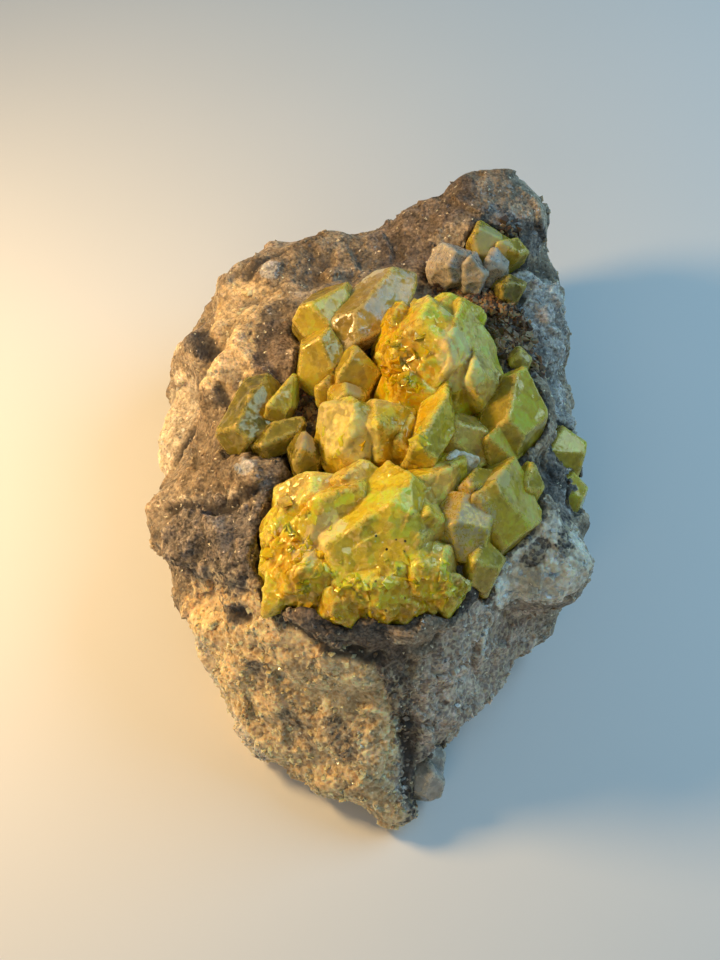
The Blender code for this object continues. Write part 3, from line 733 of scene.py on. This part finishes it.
# Crests are painted lighter towards the bruise colour: a painted highlight, mixed with the real pale bruises
# on chip borders
edge = maths(tree, "MULTIPLY", stored(tree, "ridge"), ranged(tree, fine, 0.3, 0.6))
light = maths(tree, "MAXIMUM", maths(tree, "MULTIPLY", bruised, 0.3), maths(tree, "MULTIPLY", edge, 0.65))
colour = mixed(tree, light, colour, given["Edge"])
patch = maths(tree, "MULTIPLY", ragged(tree, "pale", 0.9, 1.0), 0.7)
colour = mixed(tree, patch, colour, given["Pale"])
light = maths(tree, "MAXIMUM", light, patch)
crust = ranged(tree, speckle(tree, 0.9, 6.0, 2.5), 0.4, 0.58)
crust = maths(tree, "MULTIPLY", ragged(tree, "crust", 1.3, 1.3), crust)
colour = mixed(tree, maths(tree, "MULTIPLY", crust, 0.75), colour, given["Crust"])
dots = add(tree, "TexVoronoi", {"Vector": millimetres(tree), "Scale": 0.75})
few = ranged(tree, own_number(tree, dots), 0.72, 0.74)
dot = maths(tree, "MULTIPLY", ranged(tree, dots.outputs["Distance"], 0.13, 0.17, 1.0, 0.0), few)
dot = maths(tree, "MULTIPLY", maths(tree, "MULTIPLY", dot, stored(tree, "specks")), given["Specks"])
colour = mixed(tree, dot, colour, (0.02, 0.015, 0.01))
tree.links.new(colour, out["Color"])
dull = maths(tree, "MAXIMUM", crust, light)
tree.links.new(ranged(tree, dull, 0.0, 0.65, 0.08, 0.5), out["Roughness"])
tree.links.new(fine, out["Height"])


def sulfur(name, glow, see_through, relief, flaky, glint_share=0.02, specks=0.0, darkest=0.68, **colours):
    """A sulfur finish: glow is how far light spreads inside in millimetres, see_through how glassy it is."""
    material, tree, shader = finish(
        name,
        Subsurface_Weight=1.0,
        Subsurface_Radius=(1.0, 0.8, 0.08),
        Subsurface_Scale=glow * MM,
        Transmission_Weight=see_through,
        IOR=1.85,
        Specular_Tint=(1.0, 0.7, 0.42, 1),
    )
    tones = placed(tree, "sulfur tones", {**colours, "Specks": specks, "Darkest Face": darkest})
    flakes = placed(tree, "flakes", {"Broad Tilt": flaky, "Fine Tilt": flaky, "Contrast": 0.5 * flaky + 0.1})
    colour = tinted(tree, tones["Color"], flakes["Shade"])
    colour = mixed(tree, maths(tree, "MULTIPLY", flakes["Seams"], 0.4), colour, (1.0, 0.85, 0.2))
    # Painted glints: bright gold dots on a small share of grains, standing in for light caught by their faces
    painted_glints = placed(tree, "painted_glints", {"Grain": 0.5, "Share": glint_share})["Mask"]
    colour = mixed(tree, painted_glints, colour, (1.0, 0.94, 0.55))
    tree.links.new(colour, shader.inputs["Base Color"])
    tree.links.new(tones["Roughness"], shader.inputs["Roughness"])
    pressed(tree, shader, relief, 0.2, tones["Height"], flakes["Normal"])
    return material


def grow(node, name, cell, scales, seed, material, spots=None, steps=0.05):
    """One crystal piece: its skin drawn onto its flat faces, its chips, its stored colours and its finish."""
    piece = even_skin(node, name, cell)
    middles, outward = faces_of(piece)
    finer(piece, (outward[:, 2] > -0.2) & out_of_rock(middles))
    points, _ = skin_of(piece)
    faces = faces_to_find([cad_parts[node]])
    found = [faces.find_nearest(Vector(point)) for point in points]
    put_skin(piece, eased(piece, np.array([place for place, *_ in found]), 1))
    # Each flat face is a little darker or lighter than the next
    turned = np.round(np.array([direction for _, direction, *_ in found]), 2) @ SCATTER
    keep(piece, "facet", eased(piece, (np.sin(turned) * 43758.5 % 1)[:, None], 1)[:, 0])
    chipped(piece, scales, seed, steps)
    points, _ = skin_of(piece)
    for zone, routes in (spots or {}).items():
        keep(piece, zone, near(points, routes))
    piece.data.materials.append(material)
    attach(piece, "root")


bright_sulfur = sulfur("bright sulfur", 0.7, 0.16, 0.35, 0.42, glint_share=0.05, specks=1.0, darkest=0.9)
FRONT_BROW = ((-13, -22, 36), (-10, -28, 36), (0, -31, 36), (10, -28, 36))
grow(
    "sulfur_front_mass", "front_mass", MASS_CELL,
    (
        (3.6, 0.2, 0.06, None),
        (2.4, 0.6, 0.12, ((4, *FRONT_BROW),)),
        (1.3, 0.3, 0.1, ((5, *FRONT_BROW), (3, (-12, -14, 35)))),
    ),
    3.7, bright_sulfur,
    {
        "amber": (
            (3, (-12, -22, 36), (-10, -28, 36), (-3, -31, 35), (9, -29, 36)),
            (2, (-8, -17, 39), (-3, -14, 40)),
        ),
        "green": (
            (3, (-12, -12, 36), (-9, -12, 37), (-3, -11, 38)),
            # This green route on the right-hand faces is partly painted shade: the cool tint those faces take
            # away from the lamp
            (3, (11, -12, 38), (9, -21, 37), (11, -25, 35)),
        ),
        "pale": ((2, (-9, -24, 38), (-5, -20, 40)),),
        "specks": ((6, (6, -20, 40), (2, -28, 38)),),
    },
    steps=0.25,
)
grow(
    "sulfur_upper_mass", "upper_mass", MASS_CELL,
    (
        (3.4, 0.25, 0.06, None),
        (2.2, 0.5, 0.12, ((4, (2, 9, 39), (6, 6, 41), (4, 16, 42)),)),
        (1.3, 0.2, 0.08, ((5, (2, 9, 39), (6, 6, 41), (10, 18, 43)),)),
    ),
    8.1, bright_sulfur, steps=0.2, spots={
        "amber": ((4.5, (2, 8, 38), (4, 14, 41), (6, 5, 40)),),
        # The first green route lies on the right-hand faces, and its greener tone is partly a painted cool
        # tint of the shade there
        "green": ((4.5, (17, 12, 39), (18, 6, 38)), (3, (9, 18, 43))),
        # The pale route through (14, 4, 41) lightens a face that turns away from the lamp: a painted
        # highlight
        "pale": ((3, (14, 4, 41), (13, 8, 43)), (1.5, (12, 14, 44))),
    },
)
CREAMY_END = ((4, (-6, -3, 40), (-2, -6, 40)),)
creamy_sulfur = sulfur(
    "creamy sulfur", 0.7, 0.16, 0.35, 0.42, glint_share=0.05, darkest=0.9,
    Yellow=(0.80, 0.61, 0.05), Amber=(0.78, 0.48, 0.01), Pale=(0.76, 0.67, 0.26),
)
grow(
    "sulfur_middle_mass", "middle_mass", MASS_CELL,
    (
        (3.4, 0.25, 0.06, None),
        (1.8, 0.4, 0.12, CREAMY_END),
        (1.3, 0.2, 0.08, CREAMY_END),
    ),
    5.3, creamy_sulfur,
    {
        "pale": CREAMY_END,
        "amber": ((2.5, (0, -8, 38), (4, -7, 39)), (2.5, (8, -1, 41), (6, -4, 41))),
        "green": ((2, (2, 0, 41)),),
    },
    steps=0.2,
)

# The clean crystals at the sides, with flat glassy faces and edges a little worn.
# They are greener and clearer than the masses, and light passes a few millimetres into them.
CRYSTAL_CELL = 0.34
FACES = ((5.0, 0.15, 0.03, None), (1.5, 0.05, 0.02, None))
green_sulfur = sulfur(
    "green sulfur", 0.6, 0.38, 0.2, 0.12,
    Yellow=(0.97, 0.71, 0.07), Green=(0.97, 0.73, 0.22), Deep=(0.40, 0.30, 0.03),
)
olive_sulfur = sulfur(
    "olive sulfur", 0.5, 0.5, 0.25, 0.2,
    Yellow=(0.42, 0.34, 0.045), Green=(0.44, 0.40, 0.06), Deep=(0.14, 0.11, 0.02),
)
brown_sulfur = sulfur(
    "brown sulfur", 0.5, 0.3, 0.2, 0.2,
    Yellow=(0.90, 0.66, 0.16), Green=(0.80, 0.62, 0.20), Deep=(0.22, 0.14, 0.03),
)
grow(
    "sulfur_front_right_crystals", "front_right_crystals", CRYSTAL_CELL, FACES, 1.9, green_sulfur,
    spots={
        "crust": ((3.4, (12, -15, 39), (13, -20, 37), (15, -17, 37)),),
        "amber": ((1.5, (10, -16, 39), (13, -12, 39)),),
        "pale": ((1.8, (19, -12, 39)),),
    },
)
grow("sulfur_right_crystals", "right_crystals", CRYSTAL_CELL, FACES, 2.3, green_sulfur)
grow(
    "sulfur_upper_left_crystals", "upper_left_crystals", CRYSTAL_CELL, FACES, 6.1, green_sulfur,
    {"amber": ((2, (-4, 5, 36)),), "pale": ((1.5, (-2, 4, 38)),)},
)
grow("sulfur_pocket_crystal", "pocket_crystal", CRYSTAL_CELL, FACES, 4.4, olive_sulfur)
grow("sulfur_pocket_blade", "pocket_blade", CRYSTAL_CELL, FACES, 4.9, green_sulfur)
grow("sulfur_pocket_plate", "pocket_plate", CRYSTAL_CELL, FACES, 7.2, olive_sulfur)
grow(
    "sulfur_gap_crystal", "gap_crystal", CRYSTAL_CELL, FACES, 7.9, olive_sulfur,
    {"crust": ((2, (-9, -5, 38)),), "pale": ((2, (-9, -5, 38)),)},
)
grow(
    "sulfur_knob_crystals", "knob_crystals", CRYSTAL_CELL, FACES, 9.6, green_sulfur,
    {"pale": ((3, (20, 32, 38), (18, 26, 38)),)},
)
grow("sulfur_olive_crystal", "olive_crystal", CRYSTAL_CELL, FACES, 3.2, olive_sulfur)
grow("sulfur_green_crystal", "green_crystal", CRYSTAL_CELL, FACES, 5.8, green_sulfur)
grow("sulfur_side_crystals", "side_crystals", CRYSTAL_CELL, FACES, 2.8, green_sulfur)
grow("sulfur_brown_crystal", "brown_crystal", CRYSTAL_CELL, FACES, 6.6, brown_sulfur)
grow("brown_bead_crystal", "brown_bead", CRYSTAL_CELL, FACES, 8.8, brown_sulfur)

# Sulfur shards, small broken crystals grown into the large masses.
# They lie almost flush where the masses are honeycombed, so that only their corners and edges show.
SHARD_COLOURS = ("amber", "green", "facet", "chip")
SHARDS = (
    ("front_mass", ((4.5, (-11, -21, 37), (-9, -27, 37), (0, -31, 36), (10, -28, 36)),), 150, (0.8, 1.8), 41),
    ("upper_mass", ((4, (3, 8, 40), (6, 5, 41)), (3, (4, 15, 42))), 60, (0.8, 1.8), 42),
    ("middle_mass", ((5, (-2, -8, 38), (5, -8, 39)),), 20, (0.8, 1.6), 43),
)
for host, reach, many, size, seed in SHARDS:
    grown_on = bpy.data.objects[host]
    points, _ = skin_of(grown_on)
    weight = near(points, reach) * out_of_rock(points)
    shards = strewn(host + "_shards", grown_on, weight, many, size, -0.5, seed, 0.2, 1.1, SHARD_COLOURS)
    shards.data.materials.append(bright_sulfur)
    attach(shards, "root")

# The calcite crystals, a long pale blade and smaller gray ones, water-clear inside under a frosted skin.
# They are see-through with a straw tint, and their cleavage shows as faint veils.
DIMMING = 60.0


def calcite(name, see_through, haze, **colours):
    """A calcite finish: haze is how far light spreads inside in millimetres."""
    material, tree, shader = finish(
        name,
        Transmission_Weight=see_through,
        IOR=1.55,
        Subsurface_Weight=1.0,
        Subsurface_Radius=(1.0, 0.9, 0.6),
        Subsurface_Scale=haze * MM,
    )
    tones = placed(tree, "sulfur tones", colours)
    veils = {"Broad": 3.0, "Broad Tilt": 0.2, "Fine": 1.1, "Fine Tilt": 0.2, "Contrast": 0.2}
    flakes = placed(tree, "flakes", veils)
    colour = tinted(tree, tones["Color"], flakes["Shade"])
    colour = mixed(tree, maths(tree, "MULTIPLY", flakes["Seams"], 0.35), colour, colours["Pale"])
    tree.links.new(colour, shader.inputs["Base Color"])
    tree.links.new(tones["Roughness"], shader.inputs["Roughness"])
    pressed(tree, shader, 0.25, 0.2, tones["Height"], flakes["Normal"])
    tint = add(tree, "VolumeAbsorption", {"Color": (0.88, 0.82, 0.50), "Density": DIMMING})
    tree.links.new(tint.outputs[0], tree.nodes["Material Output"].inputs["Volume"])
    return material


straw_calcite = calcite(
    "straw calcite", 0.4, 1.2,
    Yellow=(0.88, 0.60, 0.08), Green=(0.84, 0.62, 0.11), Deep=(0.50, 0.35, 0.08),
    Pale=(1.0, 0.93, 0.76), Edge=(1.0, 0.82, 0.36), Crust=(0.86, 0.68, 0.42),
)
gray_calcite = calcite(
    "gray calcite", 0.35, 1.0,
    Yellow=(0.56, 0.51, 0.44), Green=(0.52, 0.47, 0.40), Deep=(0.24, 0.19, 0.14),
    Pale=(0.95, 0.84, 0.70), Edge=(0.82, 0.70, 0.54), Crust=(0.75, 0.60, 0.44),
)
rosy_calcite = calcite(
    "rosy calcite", 0.15, 1.0,
    Yellow=(1.0, 0.84, 0.58), Green=(1.0, 0.80, 0.54), Deep=(0.60, 0.45, 0.30),
    Pale=(1.0, 0.95, 0.85), Edge=(1.0, 0.90, 0.72), Crust=(0.95, 0.82, 0.66),
)
grow(
    "calcite_blade", "calcite_blade_skin", CRYSTAL_CELL, FACES, 1.3, straw_calcite,
    {"pale": ((2, (-1, 25, 40), (3, 28, 40)),), "crust": ((1.5, (3, 15, 37), (-3, 12, 37)),)},
)
BROKEN = ((3.0, 0.8, 0.08, None), (1.4, 0.3, 0.06, None))
grow(
    "calcite_knob_crystals", "calcite_knob_skin", CRYSTAL_CELL, BROKEN, 2.2, gray_calcite,
    {"crust": ((5, (12, 27, 38), (18, 28, 38)),)},
)
grow(
    "pale_calcite_crystal", "pale_calcite_skin", CRYSTAL_CELL, BROKEN, 3.3, rosy_calcite,
)
grow("calcite_foot_crystal", "calcite_foot_skin", CRYSTAL_CELL, FACES, 4.1, gray_calcite)

# Stained crumbs, small broken bits of iron-stained calcite caught in the hollows between the crystals.
# They lie loose and half sunk in the ground around the upper mass and the knob.
crumb_ground = np.clip(masks["stain"] * 1.5 - 0.3, 0, 1)
crumbs = strewn("stained_crumbs", rock, crumb_ground, 1100, (0.25, 0.9), -0.1, 23, uneven=0.35, stretch=1.4)
iron, tree, shader = finish("iron stain", Roughness=0.5, Subsurface_Weight=0.5, Subsurface_Scale=0.6 * MM)
share = ranged(tree, stored(tree, "tone"), 0.2, 1.0)
tree.links.new(mixed(tree, share, (0.06, 0.035, 0.018), (0.42, 0.27, 0.13)), shader.inputs["Base Color"])
crumbs.data.materials.append(iron)
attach(crumbs, "root")

# The studio: a plain pale table, a warm lamp close by on the left, and cool window light from the right.
# The table is six metres across, so that its edge stays out of sight. Places are in millimetres.
TABLE_HALF = 3000
TABLE_TOP = -0.1
corners = np.array([(-1, -1, 0), (1, -1, 0), (1, 1, 0), (-1, 1, 0)]) * TABLE_HALF + (0, 0, TABLE_TOP)
table_mesh = bpy.data.meshes.new("table")
table_mesh.from_pydata((corners * MM).tolist(), [], [(0, 1, 2, 3)])
table = bpy.data.objects.new("table", table_mesh)
bpy.context.scene.collection.objects.link(table)
painted, tree, shader = finish("pale table", Roughness=0.6)
grain = mixed(tree, speckle(tree, 0.02, 2.0), (0.76, 0.76, 0.75), (0.80, 0.79, 0.78))
tree.links.new(grain, shader.inputs["Base Color"])
table_mesh.materials.append(painted)


def lamp(name, place, aim, across, watts, colour):
    """A soft round lamp at a place, turned to what it lights, with its width in millimetres."""
    light = bpy.data.lights.new(name, "AREA")
    light.shape = "DISK"
    light.size = across * MM
    light.energy = watts
    light.color = colour
    stand = bpy.data.objects.new(name, light)
    stand.location = Vector(place) * MM
    stand.rotation_euler = (Vector(place) - Vector(aim)).to_track_quat("Z", "Y").to_euler()
    bpy.context.scene.collection.objects.link(stand)


lamp("warm lamp", (-132, 22, 128), (0, -20, 10), 46, 0.33, (1.0, 0.65, 0.28))
lamp("cool window", (300, 110, 300), (0, 0, 0), 300, 0.9, (0.37, 0.7, 1.0))
lamp("front fill", (-80, -300, 260), (0, -40, 0), 160, 0.15, (1.0, 0.80, 0.56))
world = bpy.data.worlds.new("soft room")
world.use_nodes = True
room = world.node_tree.nodes["Background"].inputs
room["Color"].default_value = (0.575, 0.85, 1.0, 1)
room["Strength"].default_value = 0.2
bpy.context.scene.world = world
bpy.context.scene.view_settings.view_transform = "Standard"

CAMERA_TARGET = Vector((-1.11, -1.54, 20.0))
CAMERA_DISTANCE = 212.0
CAMERA_RISE = np.radians(60)
camera = bpy.data.cameras.new("camera")
camera.lens = 50
camera.sensor_width = 36
camera.clip_start = 0.01
viewer = bpy.data.objects.new("camera", camera)
back = Vector((0, -np.cos(CAMERA_RISE), np.sin(CAMERA_RISE)))
viewer.location = (CAMERA_TARGET + back * CAMERA_DISTANCE) * MM
viewer.rotation_euler = back.to_track_quat("Z", "Y").to_euler()
bpy.context.scene.collection.objects.link(viewer)
bpy.context.scene.camera = viewer
